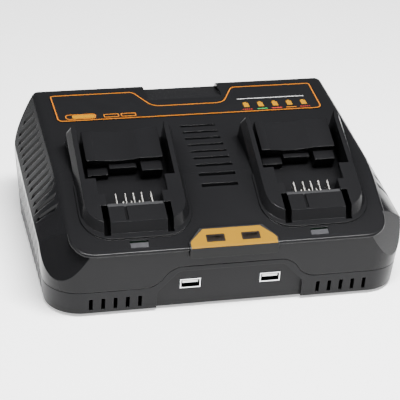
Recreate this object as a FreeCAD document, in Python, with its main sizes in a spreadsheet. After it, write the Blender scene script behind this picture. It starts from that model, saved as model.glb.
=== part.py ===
import FreeCAD, Part
import math
import os
from FreeCAD import Placement, Rotation, Vector

# Two-bay battery charger for slide-on tool batteries, with two USB outlets.
# X runs to the right, Y to the back, Z up. The origin is on the floor, under the
# middle of the whole body. All sizes are in millimetres.

doc = FreeCAD.newDocument("battery_charger")

# Driving dimensions
# Every row of the sheet is one size: its name and its value.

SIZES = [
    # housing, overall
    ("body_width", 263.0),
    ("body_depth", 189.0),
    ("foot_stand", 2.5),
    ("base_height", 17.0),
    ("seam_gap", 0.5),
    ("seam_depth", 0.9),
    ("wall_thick", 2.6),
    ("wall_draft", 4.0),
    ("front_corner", 27.0),
    ("rear_corner", 34.0),
    # top surface
    ("crease_height", 51.3),
    ("crease_lip", 1.3),
    ("crease_thick", 3.2),
    ("crease_round", 1.4),
    ("front_slope", 24.0),
    ("front_slope_length", 63.8),
    ("deck_slope", 4.5),
    ("slope_blend", 60.0),
    ("facet_run", 18.5),
    ("deck_corner", 16.0),
    ("deck_edge_round", 6.0),
    ("rear_edge_round", 6.0),
    ("ridge_drop_front", 7.0),
    ("ridge_rise", 17.5),
    ("scoop_run", 52.0),
    ("scoop_ridge", 30.0),
    ("scoop_front", 5.0),
    ("scoop_drop", 18.0),
    ("scoop_deck", 17.0),
    ("rear_dip_width", 58.0),
    ("rear_dip_depth", 5.0),
    ("rear_dip_run", 26.0),
    # docks
    ("dock_pitch", 128.0),
    ("dock_front", 19.7),
    ("dock_rise", 7.1),
    ("dock_width", 70.4),
    ("dock_length", 88.0),
    ("dock_corner", 17.0),
    ("dock_rear_corner", 3.4),
    ("dock_flare", 3.0),
    ("dock_front_flare", 5.0),
    ("plinth_width", 79.0),
    ("plinth_reach", 9.6),
    ("plinth_stand", 0.9),
    ("plinth_corner", 22.0),
    ("plinth_rear_corner", 2.0),
    ("tray_depth", 19.0),
    ("tray_floor", 2.4),
    ("rail_wall", 3.4),
    ("lip_thick", 4.0),
    ("lip_start", 39.0),
    ("well_width", 48.6),
    ("well_front", 13.4),
    ("channel_width", 4.5),
    ("channel_top", 13.5),
    ("key_groove_centre", 7.7),
    ("key_groove_width", 1.8),
    ("key_groove_depth", 1.0),
    ("key_groove_start", 1.5),
    ("column_start", 15.0),
    ("column_length", 10.0),
    ("saddle_start", 59.0),
    ("saddle_end", 86.0),
    ("saddle_width", 55.0),
    ("saddle_drop", 5.5),
    ("saddle_radius", 70.0),
    ("saddle_channel", 32.0),
    ("saddle_offset", 5.0),
    ("step_edge", 11.5),
    ("step_left_depth", 7.0),
    ("step_left_drop", 8.5),
    ("step_middle_depth", 3.85),
    ("step_middle_drop", 5.5),
    ("step_right_depth", 8.4),
    ("step_right_drop", 4.0),
    ("rail_lead_in", 7.0),
    ("rail_lead_in_flare", 1.0),
    # vents
    ("vent_pitch", 9.05),
    ("deck_vent_length", 26.4),
    ("deck_vent_width", 2.5),
    ("deck_vent_first", 48.9),
    ("deck_vent_land", 12.0),
    ("deck_vent_depth", 12.0),
    ("side_vent_first", 44.5),
    ("side_vent_rear", 26.0),
    ("side_vent_reach", 12.4),
    ("side_vent_land", 2.5),
    ("side_vent_skew", 32.6),
    ("side_vent_width", 3.5),
    ("side_vent_inner", 3.6),
    ("side_vent_sink", 1.5),
    ("rib_pitch", 10.5),
    ("rib_gap", 3.6),
    ("rib_groove_depth", 1.7),
    ("rib_first", 42.84),
    ("rib_rear", 20.0),
    ("rib_top_land", 6.0),
    ("front_vent_pitch", 8.6),
    ("front_vent_width", 2.7),
    ("front_vent_inner", 64.2),
    ("front_vent_land", 5.5),
    # outlet panel
    ("tongue_rise", 16.2),
    ("tongue_top_width", 68.0),
    ("tongue_shoulder", 28.0),
    ("panel_width", 104.6),
    ("panel_top_width", 75.0),
    ("panel_height", 32.2),
    ("panel_knee", 16.1),
    ("panel_corner", 6.0),
    ("panel_recess", 2.2),
    ("outlet_pitch", 57.4),
    ("outlet_height", 20.2),
    # outlet parts
    ("outlet_flange_width", 14.5),
    ("outlet_flange_height", 7.2),
    ("outlet_mouth_width", 12.5),
    ("outlet_mouth_height", 5.1),
    ("outlet_shell_wall", 0.4),
    ("outlet_gap", 0.6),
    ("outlet_flange_thick", 0.8),
    ("outlet_flange_stand", 0.3),
    ("outlet_depth", 14.0),
    ("tongue_plate_thick", 1.8),
    ("tongue_side_gap", 0.7),
    ("tongue_top_gap", 0.5),
    ("contact_width", 1.1),
    ("contact_length", 8.4),
    ("contact_thick", 0.2),
    ("contact_pitch", 2.4),
    ("contact_start", 1.4),
    # label, badge and lamp windows
    ("film_thick", 0.4),
    ("label_margin", 10.0),
    ("label_rear_margin", 12.5),
    ("label_depth", 39.8),
    ("label_step", 22.7),
    ("label_taper", 0.8),
    ("label_inner", 9.5),
    ("label_neck", 2.0),
    ("label_front_corner", 5.0),
    ("label_outer_corner", 3.0),
    ("label_inner_corner", 6.0),
    ("label_neck_corner", 9.0),
    ("badge_width", 63.0),
    ("badge_top_width", 42.8),
    ("badge_run", 15.4),
    ("badge_flap", 7.8),
    ("badge_thick", 1.0),
    ("badge_shoulder", 4.0),
    ("badge_corner", 2.5),
    ("lamp_width", 12.6),
    ("lamp_height", 4.4),
    ("lamp_front", 5.9),
    ("lamp_offset", 1.5),
    ("lamp_slit", 1.2),
    ("lamp_board_margin", 4.0),
    ("lamp_board_thick", 1.0),
    # terminals
    ("blade_thick", 0.8),
    ("blade_reach", 9.0),
    ("blade_height", 7.0),
    ("blade_spacing", 5.7),
    ("blade_outer", 12.4),
    ("blade_drop", 1.6),
    ("blade_twin_gap", 1.9),
    ("terminal_back", 3.0),
    ("terminal_sill", 3.0),
    ("terminal_sill_rim", 2.5),
    ("terminal_drop", 1.2),
    # electronics
    ("board_thick", 1.6),
    ("board_width", 196.0),
    ("board_depth", 122.0),
    ("board_front", 44.0),
    ("board_stand", 7.0),
    ("board_post", 7.0),
    ("board_pin", 3.0),
    ("board_pin_stand", 2.0),
    ("board_pin_inset", 8.0),
    ("outlet_board_depth", 24.0),
    ("outlet_board_margin", 15.0),
    ("outlet_board_set_back", 3.5),
    ("core_width", 35.0),
    ("core_depth", 30.0),
    ("core_height", 30.0),
    ("core_yoke", 6.0),
    ("core_side_leg", 5.25),
    ("core_window", 7.0),
    ("coil_overhang", 4.0),
    ("coil_clearance", 0.1),
    ("core_row", 62.0),
    ("mains_row", 106.0),
    ("output_row", 40.0),
    ("sink_row", 50.0),
    ("capacitor_diameter", 18.0),
    ("capacitor_height", 31.0),
    ("output_diameter", 10.0),
    ("output_height", 20.0),
    ("output_pitch", 16.0),
    ("sink_width", 44.0),
    ("sink_plate", 3.0),
    ("sink_fin", 1.6),
    ("sink_reach", 9.0),
    ("sink_height", 22.0),
    ("sink_inset", 36.0),
    ("chip_width", 10.0),
    ("chip_thick", 4.5),
    ("chip_height", 15.0),
    ("chip_spacing", 22.0),
    ("chip_stand", 3.0),
    ("choke_diameter", 26.0),
    ("choke_hole", 10.0),
    ("choke_height", 8.0),
    ("choke_inset", 20.0),
    ("bulk_inset", 54.0),
    ("bridge_width", 22.0),
    ("bridge_thick", 4.0),
    ("bridge_height", 16.0),
    ("bridge_inset", 78.0),
    ("fuse_length", 20.0),
    ("fuse_diameter", 5.2),
    ("fuse_inset", 46.0),
    # fixings
    ("screw_diameter", 3.5),
    ("screw_sink", 6.0),
    ("screw_head", 7.0),
    ("screw_head_height", 2.4),
    ("screw_grip", 14.0),
    ("screw_bite", 0.02),
    ("post_diameter", 9.0),
    ("post_inset", 20.5),
    ("post_front", 34.0),
    ("post_rear", 21.0),
    ("post_split", 26.0),
    ("foot_diameter", 14.0),
    ("foot_inset", 34.5),
    ("foot_front", 22.0),
    ("foot_rear", 23.0),
    # cord gland
    ("gland_bore", 7.4),
    ("gland_body", 12.0),
    ("gland_flange", 17.0),
    ("gland_stand", 3.0),
    ("gland_taper", 2.0),
    ("gland_lock", 3.0),
    ("gland_lock_step", 1.0),
    ("gland_boss_rim", 2.5),
    ("gland_height", 32.0),
    ("gland_place", 0.0),
    # clearances
    ("seat_clearance", 0.1),
    ("screw_clearance", 0.25),
]

sheet = doc.addObject("Spreadsheet::Sheet", "dims")
for row, (alias, value) in enumerate(SIZES, start=1):
    sheet.set("A%d" % row, alias)
    sheet.set("B%d" % row, str(value))
    sheet.setAlias("B%d" % row, alias)
doc.recompute()


def size(alias):
    return float(getattr(sheet, alias))


# Stations that several pieces share

body_front = -(size("body_depth") + size("gland_stand") - size("badge_thick")) / 2
body_rear = body_front + size("body_depth")
wall = size("wall_thick")
base_floor_under = size("foot_stand")
base_floor_top = base_floor_under + wall
parting_height = base_floor_under + size("base_height")
half_width = size("body_width") / 2
deck_half = half_width - size("facet_run")
slope_tangent = math.tan(math.radians(size("front_slope")))
deck_tangent = math.tan(math.radians(size("deck_slope")))
break_y = body_front + size("front_slope_length")
break_z = size("crease_height") + size("front_slope_length") * slope_tangent
cut_reach = 400.0
label_rear = body_rear - size("label_rear_margin")
label_front = label_rear - size("label_depth")


def from_front(distance):
    return body_front + distance


def deck_height(y):
    # Height of the top surface: a front slope, a nearly level deck, and an arc between.
    turn = math.radians(size("front_slope") - size("deck_slope"))
    tangent_run = size("slope_blend") * math.tan(turn / 2)
    blend_start = break_y - tangent_run * math.cos(math.radians(size("front_slope")))
    blend_end = break_y + tangent_run * math.cos(math.radians(size("deck_slope")))
    if y <= blend_start:
        return break_z + (y - break_y) * slope_tangent
    if y >= blend_end:
        return break_z + (y - break_y) * deck_tangent
    start_z = break_z + (blend_start - break_y) * slope_tangent
    centre_y = blend_start + size("slope_blend") * math.sin(math.radians(size("front_slope")))
    centre_z = start_z - size("slope_blend") * math.cos(math.radians(size("front_slope")))
    return centre_z + math.sqrt(size("slope_blend") ** 2 - (y - centre_y) ** 2)


def rear_drop(y):
    # The deck rolls over into the rear wall.
    past = max(y - (body_rear - size("rear_edge_round")), 0.0)
    radius = size("rear_edge_round")
    return radius - math.sqrt(max(radius * radius - past * past, 0.0))


def ridge_height(y):
    # Height where the sloping side facet meets the upright side wall.
    along = (y - body_front) / size("body_depth")
    return size("crease_height") - size("ridge_drop_front") + size("ridge_rise") * along


# Shape helpers

def closed_wire(points):
    return Part.makePolygon(list(points) + [points[0]])


def rounded_wire(points, radii):
    # A closed outline through the points, each corner turned into a tangent arc.
    edges = []
    count = len(points)
    starts = []
    ends = []
    arcs = []
    for index in range(count):
        corner = points[index]
        before = (points[index - 1] - corner).normalize()
        after = (points[(index + 1) % count] - corner).normalize()
        radius = radii[index]
        if radius <= 0:
            starts.append(corner)
            ends.append(corner)
            arcs.append(None)
            continue
        half_angle = before.getAngle(after) / 2
        setback = radius / math.tan(half_angle)
        middle = (before + after).normalize() * (radius / math.sin(half_angle) - radius)
        starts.append(corner + before * setback)
        ends.append(corner + after * setback)
        arcs.append(corner + middle)
    for index in range(count):
        if arcs[index] is not None:
            edges.append(Part.Arc(starts[index], arcs[index], ends[index]).toShape())
        following = starts[(index + 1) % count]
        edges.append(Part.LineSegment(ends[index], following).toShape())
    return Part.Wire(edges)


def prism(wire, direction):
    return Part.Face(wire).extrude(direction)


def block(x0, x1, y0, y1, z0, z1):
    return Part.makeBox(x1 - x0, y1 - y0, z1 - z0, Vector(x0, y0, z0))


def mirrored_x(shape):
    return shape.mirror(Vector(0, 0, 0), Vector(1, 0, 0))


def add_feature(label, shape, placement=None):
    feature = doc.addObject("Part::Feature", label)
    feature.Label = label
    feature.Shape = shape
    if placement is not None:
        feature.Placement = placement
    return feature


# Housing form
# The outside of the whole housing, also used inset by the wall thickness for its inside.

def plan_wire(height, side, front, rear, front_radius, rear_radius):
    corners = [
        Vector(-side, front, height),
        Vector(side, front, height),
        Vector(side, rear, height),
        Vector(-side, rear, height),
    ]
    return rounded_wire(corners, [front_radius, front_radius, rear_radius, rear_radius])


def wall_envelope(inset):
    # Upright walls with a small draft, widest at the height of the front crease.
    draft = size("wall_draft")
    side = half_width - inset
    front = body_front + size("crease_lip") + inset
    rear = body_rear - inset
    front_radius = size("front_corner") - inset
    rear_radius = size("rear_corner") - inset
    low = plan_wire(base_floor_under, side - draft, front + draft, rear - draft,
                    front_radius - draft / 2, rear_radius - draft / 2)
    high = plan_wire(size("crease_height"), side, front, rear, front_radius, rear_radius)
    lower = Part.makeLoft([low, high], True, True)
    upper = prism(high, Vector(0, 0, 2 * size("crease_height")))
    return lower.fuse(upper).removeSplitter()


def top_section(y, inset):
    # Cross-section of the body under the deck and its two side facets.
    top_half = deck_half - inset * 0.6
    deck_z = deck_height(y) - rear_drop(y) - inset
    ridge_half = half_width - inset
    ridge_z = ridge_height(y) - inset * 0.4
    slope = (deck_z - ridge_z) / (ridge_half - top_half)
    outer = ridge_half + 20
    outer_z = ridge_z - 20 * slope
    low = -20
    corners = [
        Vector(-outer, y, low),
        Vector(outer, y, low),
        Vector(outer, y, outer_z),
        Vector(top_half, y, deck_z),
        Vector(-top_half, y, deck_z),
        Vector(-outer, y, outer_z),
    ]
    edge_round = size("deck_edge_round") if inset == 0 else 0
    return rounded_wire(corners, [0, 0, 0, edge_round, edge_round, 0])


def top_envelope(inset):
    blend = size("slope_blend") * 0.2
    stations = [body_front - 20, break_y - blend, break_y - blend / 3,
                break_y + blend / 3, break_y + blend]
    stations += [body_rear - size("rear_edge_round") * share for share in (1.0, 0.5, 0.2, 0.03)]
    stations.append(body_rear + 20)
    return Part.makeLoft([top_section(y, inset) for y in stations], True, True)


def corner_scoop(inset):
    # Slanting facet that cuts each front corner from the ridge down to the front wall.
    ridge_y = from_front(size("scoop_ridge"))
    deck_y = from_front(size("scoop_deck"))
    ridge_point = Vector(-half_width, ridge_y, ridge_height(ridge_y))
    front_height = size("crease_height") - size("scoop_drop")
    front_point = Vector(-deck_half, from_front(size("scoop_front")), front_height)
    deck_point = Vector(-deck_half + 2.0, deck_y, deck_height(deck_y))
    normal = (front_point - ridge_point).cross(deck_point - ridge_point).normalize()
    if normal.z < 0:
        normal = normal * -1
    centre = (ridge_point + front_point + deck_point) / 3 - normal * inset
    reach = cut_reach / 3
    cutter = Part.makeBox(reach, reach, reach / 2, Vector(-reach / 2, -reach / 2, 0))
    cutter.Placement = Placement(centre, Rotation(Vector(0, 0, 1), normal))
    limit = block(-cut_reach / 2, -deck_half + 2 * size("deck_corner"),
                  body_front - 30, from_front(size("scoop_run")), 0, 2 * size("crease_height"))
    return cutter.common(limit)


def deck_plate():
    # The deck ends in a rounded bead that overhangs the front wall along the crease.
    rear = break_y - size("slope_blend") * 0.25
    outline = plan_wire(0, deck_half, body_front, rear, size("deck_corner"), 0)
    column = prism(outline, Vector(0, 0, 2 * size("crease_height")))
    thick = size("crease_thick") * math.cos(math.radians(size("front_slope")))
    slab = Part.makeBox(cut_reach, cut_reach, thick, Vector(-cut_reach / 2, -cut_reach / 2, -thick))
    crease = Vector(0, body_front, size("crease_height"))
    slab.Placement = Placement(crease, Rotation(Vector(1, 0, 0), size("front_slope")))
    plate = column.common(slab).Solids[0]
    nose = [edge for edge in plate.Edges
            if edge.BoundBox.YMin < rear - size("crease_thick")
            and max(edge.BoundBox.XLength, edge.BoundBox.YLength) > size("crease_thick")]
    return plate.makeFillet(size("crease_round"), nose).common(top_envelope(0))


def rear_dip():
    # Shallow scoop in the middle of the rear edge.
    half = size("rear_dip_width") / 2
    start_y = body_rear - size("rear_dip_run")
    start_z = deck_height(start_y)
    end_z = deck_height(body_rear) - size("rear_dip_depth")
    slope = (end_z - start_z) / size("rear_dip_run")
    beyond = 30.0
    profile = closed_wire([
        Vector(-half, start_y, start_z),
        Vector(-half, body_rear + beyond, end_z + slope * beyond),
        Vector(-half, body_rear + beyond, end_z + 40),
        Vector(-half, start_y, start_z + 40),
    ])
    return prism(profile, Vector(2 * half, 0, 0))


def housing_form(inset):
    form = wall_envelope(inset).common(top_envelope(inset))
    scoop = corner_scoop(inset)
    form = form.cut([scoop, mirrored_x(scoop)])
    if inset == 0:
        form = form.fuse(deck_plate())
        form = form.cut(rear_dip())
    else:
        dip = rear_dip()
        dip.translate(Vector(0, 0, -inset))
        form = form.cut(dip)
    return form


outer_form = housing_form(0)
inner_form = housing_form(wall)


def tongue_outline():
    # The parting line: level round the body, rising in a tongue over the outlets.
    top_half = size("tongue_top_width") / 2
    run = size("tongue_shoulder")
    rise = size("tongue_rise")
    radius = (run * run + rise * rise) / (4 * rise)
    mid = Vector(top_half + run / 2, 0, parting_height + rise / 2)
    turn = 2 * math.atan2(rise, run)
    outer_x = top_half + run
    low = parting_height
    high = parting_height + rise

    def shoulder(side):
        quarter = turn / 2
        lower_mid = Vector(side * (outer_x - radius * math.sin(quarter)), 0,
                           low + radius * (1 - math.cos(quarter)))
        upper_mid = Vector(side * (top_half + radius * math.sin(quarter)), 0,
                           high - radius * (1 - math.cos(quarter)))
        joint = Vector(side * mid.x, 0, mid.z)
        lower = Part.Arc(Vector(side * outer_x, 0, low), lower_mid, joint).toShape()
        upper = Part.Arc(joint, upper_mid, Vector(side * top_half, 0, high)).toShape()
        return lower, upper

    right_lower, right_upper = shoulder(1)
    left_lower, left_upper = shoulder(-1)
    far = cut_reach / 2
    edges = [
        Part.LineSegment(Vector(far, 0, low), Vector(outer_x, 0, low)).toShape(),
        right_lower,
        right_upper,
        Part.LineSegment(Vector(top_half, 0, high), Vector(-top_half, 0, high)).toShape(),
        left_upper,
        left_lower,
        Part.LineSegment(Vector(-outer_x, 0, low), Vector(-far, 0, low)).toShape(),
        Part.LineSegment(Vector(-far, 0, low), Vector(-far, 0, -50)).toShape(),
        Part.LineSegment(Vector(-far, 0, -50), Vector(far, 0, -50)).toShape(),
        Part.LineSegment(Vector(far, 0, -50), Vector(far, 0, low)).toShape(),
    ]
    return Part.Wire(Part.__sortEdges__(edges))


def below_parting():
    # The tongue is only in the front wall; behind it the split is level.
    wire = tongue_outline()
    wire.translate(Vector(0, body_front - 20, 0))
    tongue_back = from_front(size("crease_lip") + size("wall_draft") + wall + 1.0)
    front_part = prism(wire, Vector(0, tongue_back - body_front + 20, 0))
    level = block(-cut_reach / 2, cut_reach / 2, body_front - 20, body_rear + 20, -50, parting_height)
    return front_part.fuse(level)


# Dock trays
# Each battery bay is drawn in its own frame: u across, v up the slope from the front
# edge of the rim, w square to the slope with the rim at zero.

slope_angle = math.radians(size("front_slope"))
rim_y = from_front(size("dock_front")) - size("dock_rise") * math.sin(slope_angle)
rim_z = (size("crease_height") + size("dock_front") * slope_tangent
         + size("dock_rise") * math.cos(slope_angle))


def dock_frame(side):
    centre = Vector(side * size("dock_pitch") / 2, rim_y, rim_z)
    return Placement(centre, Rotation(Vector(1, 0, 0), size("front_slope")))


def dock_wire(depth, half, front, rear, front_radius, rear_radius):
    return plan_wire(-depth, half, front, rear, front_radius, rear_radius)


def dock_pedestal():
    half = size("dock_width") / 2
    flare = size("dock_flare")
    rise = size("dock_rise")
    corner = size("dock_corner")
    rear_corner = size("dock_rear_corner")
    rear = size("dock_length")
    front_flare = size("dock_front_flare")
    knee = rise - size("plinth_stand")
    top = dock_wire(0, half, 0, rear, corner, rear_corner)
    middle = dock_wire(knee, half + flare, -front_flare, rear, corner + flare, rear_corner)
    upper = Part.makeLoft([top, middle], True, True)
    lower = prism(middle, Vector(0, 0, knee - size("tray_depth") - size("tray_floor")))
    sunk = rise + 3.0
    plinth_outline = dock_wire(sunk, size("plinth_width") / 2, -size("plinth_reach"), size("lip_start"),
                               size("plinth_corner"), size("plinth_rear_corner"))
    plinth = prism(plinth_outline, Vector(0, 0, sunk - rise + size("plinth_stand")))
    return upper.fuse([lower, plinth])


def saddle_floor():
    # Raised floor the battery slides over, dished in the middle and stepped in front.
    half = size("saddle_width") / 2
    top = -size("saddle_drop")
    start = size("saddle_start")
    end = size("saddle_end")
    low = -size("tray_depth")
    slab = block(-half, half, start, end, low, top)
    radius = size("saddle_radius")
    reach = size("saddle_channel") / 2
    sink = radius - math.sqrt(radius * radius - reach * reach)
    offset = -size("saddle_offset")
    dish_axis = Vector(offset, start - 5, top + radius - sink)
    dish = Part.makeCylinder(radius, end - start + 10, dish_axis, Vector(0, 1, 0))
    dish = dish.common(block(offset - reach, offset + reach, start - 5, end + 5, low, top + 1))
    slab = slab.cut(dish)
    left_step = block(-half + 1, -12.0, start - size("step_left_depth"), start,
                      low, top - size("step_left_drop"))
    middle_step = block(-11.0, 8.5, start - size("step_middle_depth"), start,
                        low, top - size("step_middle_drop"))
    right_step = block(size("step_edge"), half - 1, start - size("step_right_depth"), start,
                       low, top - size("step_right_drop"))
    return slab.fuse([left_step, middle_step, right_step])


def dock_pockets():
    # All that is open inside a bay, seen from above.
    half = size("dock_width") / 2
    inner = half - size("rail_wall")
    low = -size("tray_depth")
    lip = size("lip_start")
    well_half = size("well_width") / 2
    centre_half = well_half - size("channel_width")
    well_front = size("well_front")
    column_start = size("column_start")
    column_end = column_start + size("column_length")
    above = 5.0
    rear_bay = block(-inner, inner, lip, size("dock_length") + 5, low, above)
    under_lips = block(-inner, inner, column_end, lip, low, -size("lip_thick"))
    well = block(-centre_half, centre_half, well_front, lip, low, above)
    cuts = [rear_bay, under_lips, well]
    for side in (-1, 1):
        inner_x = side * centre_half
        outer_x = side * well_half
        x0 = min(inner_x, outer_x)
        x1 = max(inner_x, outer_x)
        cuts.append(block(x0, x1, column_end, lip, low, above))
        cuts.append(block(x0, x1, -size("dock_front_flare") - 1.5, column_start,
                          -size("channel_top"), above))
    groove_left = -size("key_groove_centre") - size("key_groove_width") / 2
    cuts.append(block(groove_left, groove_left + size("key_groove_width"), size("key_groove_start"),
                      well_front, -size("key_groove_depth"), above))
    return cuts


def dock_relief():
    # Lead-in at the rear end of the rails, where the battery first enters.
    half = size("dock_width") / 2
    rear = size("dock_length")
    inner = half - size("rail_wall")
    wedge = closed_wire([
        Vector(inner - 0.1, rear - size("rail_lead_in"), 5),
        Vector(inner - 0.1, rear + 1, 5),
        Vector(inner + size("rail_lead_in_flare"), rear + 1, 5),
    ])
    one = prism(wedge, Vector(0, 0, -size("tray_depth") - 5))
    return [one, mirrored_x(one)]


def dock_tray():
    tray = dock_pedestal().cut(dock_pockets() + dock_relief())
    return tray.fuse(saddle_floor())


# Vent cuts

def deck_vents():
    slots = []
    half = size("deck_vent_length") / 2
    width = size("deck_vent_width")
    room = label_front - size("deck_vent_land") - from_front(size("deck_vent_first"))
    for index in range(int(room / size("vent_pitch")) + 1):
        y = from_front(size("deck_vent_first") + index * size("vent_pitch"))
        z = deck_height(y)
        slots.append(block(-half, half, y - width / 2, y + width / 2,
                           z - size("deck_vent_depth"), z + 8))
    return slots


def side_at(y):
    # Half-width of the housing at a station, with the rear corners' rounding.
    past = max(y - (body_rear - size("rear_corner")), 0.0)
    radius = size("rear_corner")
    return half_width - radius + math.sqrt(radius * radius - past * past)


def side_vents():
    # Slanting slots along each side facet, the rearmost ones kept off the corner.
    slots = []
    skew = math.radians(size("side_vent_skew"))
    width = size("side_vent_width")
    start_x = deck_half + size("side_vent_inner")
    room = size("body_depth") - size("side_vent_first") - size("side_vent_rear")
    for index in range(int(room / size("vent_pitch")) + 1):
        y = from_front(size("side_vent_first") + index * size("vent_pitch"))
        end_y = min(y + size("side_vent_reach") * math.tan(skew) + width, body_rear)
        reach = min(size("side_vent_reach"), side_at(end_y) - start_x - size("side_vent_land"))
        length = reach / math.cos(skew)
        slot = Part.makeBox(length, width, 60, Vector(0, -width / 2, 0))
        corner = Vector(start_x, y, ridge_height(y) - size("side_vent_sink"))
        slot.Placement = Placement(corner, Rotation(Vector(0, 0, 1), size("side_vent_skew")))
        slots.append(slot)
        slots.append(mirrored_x(slot))
    return slots


def rib_stations():
    room = size("body_depth") - size("rib_first") - size("rib_rear")
    count = int(room / size("rib_pitch")) + 1
    return [from_front(size("rib_first") + index * size("rib_pitch")) for index in range(count)]


def rib_grooves():
    # Upright grooves that break the side walls of both mouldings into ribs.
    cuts = []
    gap = size("rib_gap")
    depth = size("rib_groove_depth")
    for y in rib_stations():
        top = ridge_height(y) - size("rib_top_land")
        lean = size("wall_draft") / (size("crease_height") - base_floor_under)
        low = base_floor_under - 1
        low_x = half_width - (size("crease_height") - low) * lean - depth
        high_x = half_width - (size("crease_height") - top) * lean - depth
        section = closed_wire([
            Vector(low_x, y - gap / 2, low),
            Vector(high_x, y - gap / 2, top),
            Vector(half_width + 5, y - gap / 2, top),
            Vector(half_width + 5, y - gap / 2, low),
        ])
        groove = prism(section, Vector(0, gap, 0))
        cuts.append(groove)
        cuts.append(mirrored_x(groove))
    return cuts


# Fixing posts

def post_places():
    half = half_width - size("post_inset")
    front = from_front(size("post_front"))
    rear = body_rear - size("post_rear")
    return [Vector(x, y, 0) for y in (front, rear) for x in (-half, half)]


def cylinder_at(place, radius, low, high):
    return Part.makeCylinder(radius, high - low, Vector(place.x, place.y, low))


# Top cover
# One moulding: fascia, sloping front, deck, side facets and both battery bays.

def make_top_cover():
    shell = outer_form.cut(inner_form)
    seam = below_parting()
    seam.translate(Vector(0, 0, size("seam_gap")))
    shell = shell.cut([below_parting(), seam.cut(wall_envelope(size("seam_depth")))])
    trays = []
    openings = []
    for side in (-1, 1):
        tray = dock_tray()
        tray.Placement = dock_frame(side)
        trays.append(tray)
        for hole in dock_pockets() + dock_relief():
            hole.Placement = dock_frame(side)
            openings.append(hole)
    shell = shell.cut(openings).fuse(trays)
    posts = []
    for place in post_places():
        post = cylinder_at(place, size("post_diameter") / 2, size("post_split"),
                           deck_height(place.y) - 1)
        posts.append(post.common(outer_form))
    shell = shell.fuse(posts)
    hole_top = size("post_split") + size("screw_grip") + 2
    holes = [cylinder_at(place, size("screw_diameter") / 2, size("post_split") - 1, hole_top)
             for place in post_places()]
    lamps = []
    for side in (-1, 1):
        lamps.append(lamp_recess(side))
    shell = shell.cut(deck_vents() + side_vents() + rib_grooves() + holes + lamps)
    return shell.removeSplitter()


def lamp_frame(side):
    # The lamp windows lie in the front slope, just under each bay.
    y = from_front(size("lamp_front"))
    z = size("crease_height") + size("lamp_front") * slope_tangent
    centre = Vector(side * size("dock_pitch") / 2 - size("lamp_offset"), y, z)
    return Placement(centre, Rotation(Vector(1, 0, 0), size("front_slope")))


def lamp_recess(side):
    half = size("lamp_width") / 2 + size("seat_clearance")
    low = -size("lamp_height") / 2 - size("seat_clearance")
    high = size("lamp_height") / 2 + size("seat_clearance") + size("lamp_slit")
    recess = block(-half, half, low, high, -8, 4)
    recess.Placement = lamp_frame(side)
    return recess


# Base tray
# The lower moulding: floor, low walls, the raised tongue with the outlet panel,
# vents and posts.

def panel_recess():
    half = size("panel_width") / 2
    top_half = size("panel_top_width") / 2
    corners = [
        Vector(-half, 0, -1),
        Vector(half, 0, -1),
        Vector(half, 0, size("panel_knee")),
        Vector(top_half, 0, size("panel_height")),
        Vector(-top_half, 0, size("panel_height")),
        Vector(-half, 0, size("panel_knee")),
    ]
    wire = rounded_wire(corners, [0, 0] + [size("panel_corner")] * 4)
    wire.translate(Vector(0, body_front - 10, 0))
    column = prism(wire, Vector(0, 40, 0))
    inner = wall_envelope(size("panel_recess"))
    return column.cut(inner)


def outlet_centre(side):
    return Vector(side * size("outlet_pitch") / 2, panel_face_y(), size("outlet_height"))


def panel_face_y():
    lean = size("wall_draft") / (size("crease_height") - base_floor_under)
    return (body_front + size("crease_lip") + size("panel_recess")
            + (size("crease_height") - size("outlet_height")) * lean)


def front_vents():
    cuts = []
    half = size("front_vent_width") / 2
    room = half_width - size("front_corner") - size("front_vent_inner")
    for side in (-1, 1):
        for index in range(int(room / size("front_vent_pitch")) + 1):
            x = side * (size("front_vent_inner") + index * size("front_vent_pitch"))
            cuts.append(block(x - half, x + half, body_front - 5, from_front(14),
                              base_floor_top, parting_height - size("front_vent_land")))
    return cuts


def foot_places():
    half = half_width - size("foot_inset")
    front = from_front(size("foot_front"))
    rear = body_rear - size("foot_rear")
    return [Vector(x, y, 0) for y in (front, rear) for x in (-half, half)]


def board_places():
    inset = size("board_pin_inset")
    half = size("board_width") / 2 - inset
    front = from_front(size("board_front") + inset)
    rear = from_front(size("board_front") + size("board_depth") - inset)
    return [Vector(x, y, 0) for y in (front, rear) for x in (-half, half)]


board_under = base_floor_top + size("board_stand")
board_pin_top = board_under + size("board_thick") + size("board_pin_stand")
screw_seat = base_floor_under + size("screw_sink")


def gland_place():
    return Vector(size("gland_place"), body_rear, size("gland_height"))


def make_base_tray():
    shell = wall_envelope(0).cut(wall_envelope(wall))
    floor_slab = block(-cut_reach / 2, cut_reach / 2, body_front - 10, body_rear + 10,
                       base_floor_under, base_floor_top)
    floor_plate = wall_envelope(0).common(floor_slab)
    shell = shell.common(below_parting()).fuse(floor_plate)
    panel_back = wall_envelope(wall).cut(wall_envelope(wall + size("panel_recess")))
    half = size("panel_width") / 2 + 3
    panel_limit = block(-half, half, body_front, from_front(20),
                        base_floor_under, size("panel_height") + 3)
    shell = shell.fuse(panel_back.common(panel_limit).common(below_parting()))
    posts = []
    low = base_floor_under + 1
    for place in post_places():
        posts.append(cylinder_at(place, size("post_diameter") / 2, low, size("post_split")))
    for place in board_places():
        posts.append(cylinder_at(place, size("board_post") / 2, low, board_under))
        posts.append(cylinder_at(place, size("board_pin") / 2, board_under - 1, board_pin_top))
    shell = shell.fuse(posts)
    cuts = [panel_recess()] + front_vents() + rib_grooves()
    for place in post_places():
        through = size("screw_diameter") / 2 + size("screw_clearance")
        head = size("screw_head") / 2 + size("screw_clearance")
        cuts.append(cylinder_at(place, through, 0, size("post_split") + 1))
        cuts.append(cylinder_at(place, head, 0, screw_seat))
    for side in (-1, 1):
        cuts.append(outlet_window(side))
    return shell.cut(cuts).removeSplitter()


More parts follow.
